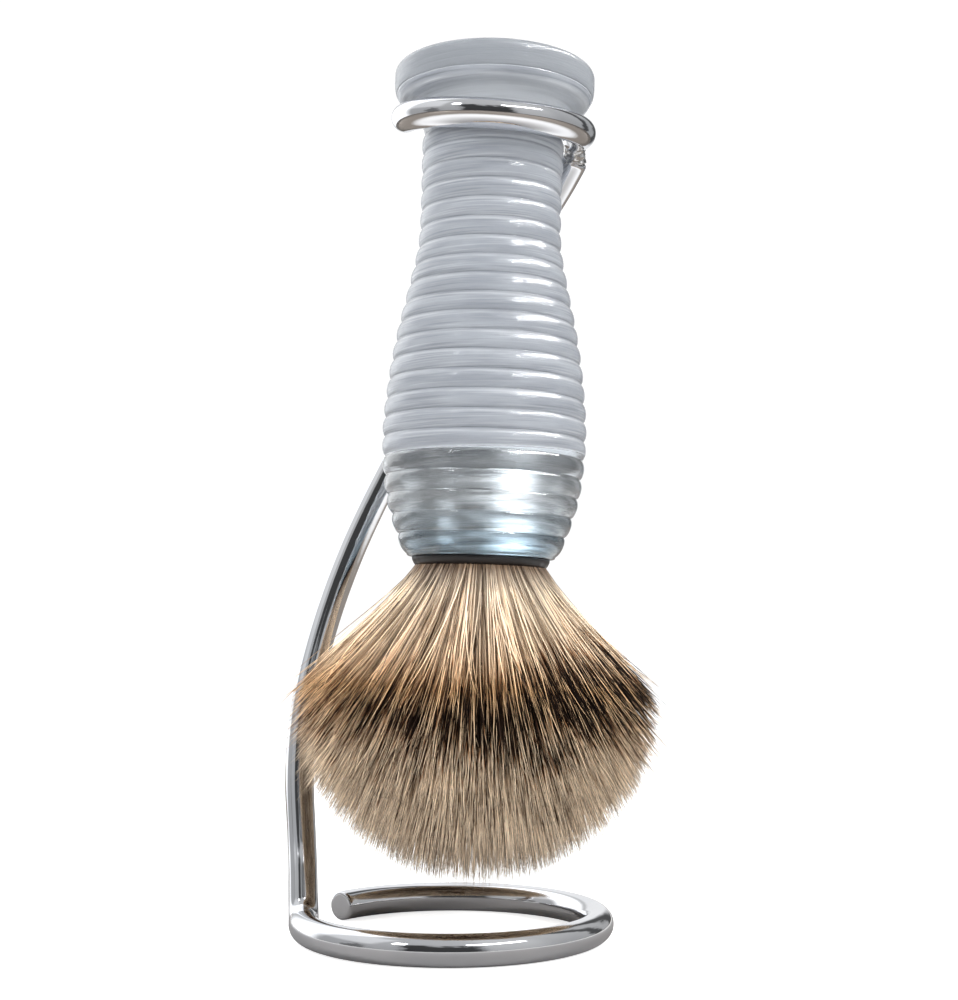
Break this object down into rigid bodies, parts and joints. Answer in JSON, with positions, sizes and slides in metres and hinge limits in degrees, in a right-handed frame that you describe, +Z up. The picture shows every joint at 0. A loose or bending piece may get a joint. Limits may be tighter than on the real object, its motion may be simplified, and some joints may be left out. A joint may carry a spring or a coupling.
{
  "type": "shaving brush",
  "caption": "Badger-hair shaving brush with a ribbed frosted handle, hanging bristles down by its neck in a bent chrome rod stand.",
  "frame": {"origin": "middle of the footprint, on the surface that the stand rests on", "axes": "+Z up; +X to the right and +Y away from a viewer who faces the front of the holder ring; the post is on -X"},
  "size_m": [0.0604, 0.057, 0.1418],
  "materials": {
    "chrome": "mirror polished",
    "braze_metal": "plated over a rough brazed fillet",
    "frosted_handle": "translucent satin, ribbed",
    "frosted_cap": "translucent satin",
    "cup_metal": "turned and bright",
    "plug_resin": "cast epoxy",
    "collar_resin": "dark satin",
    "thread": "waxed twine",
    "hair": "banded badger hair: cream roots, black band, grey-cream tips"
  },
  "bodies": {
    "stand": {"stand_rod": "chrome", "holder_ring": "chrome", "braze_joint": "braze_metal"},
    "brush": {"handle": "frosted_handle", "end_cap": "frosted_cap", "ferrule_cup": "cup_metal", "knot_plug": "plug_resin", "binding_thread": "thread", "knot_collar": "collar_resin", "bristles": "hair"}
  },
  "joints": [
    {"name": "brush_lift", "type": "slide", "parent": "stand", "child": "brush", "axis": [0.0297, 0, 0.9996], "range_m": [0, 0.016]}
  ]
}
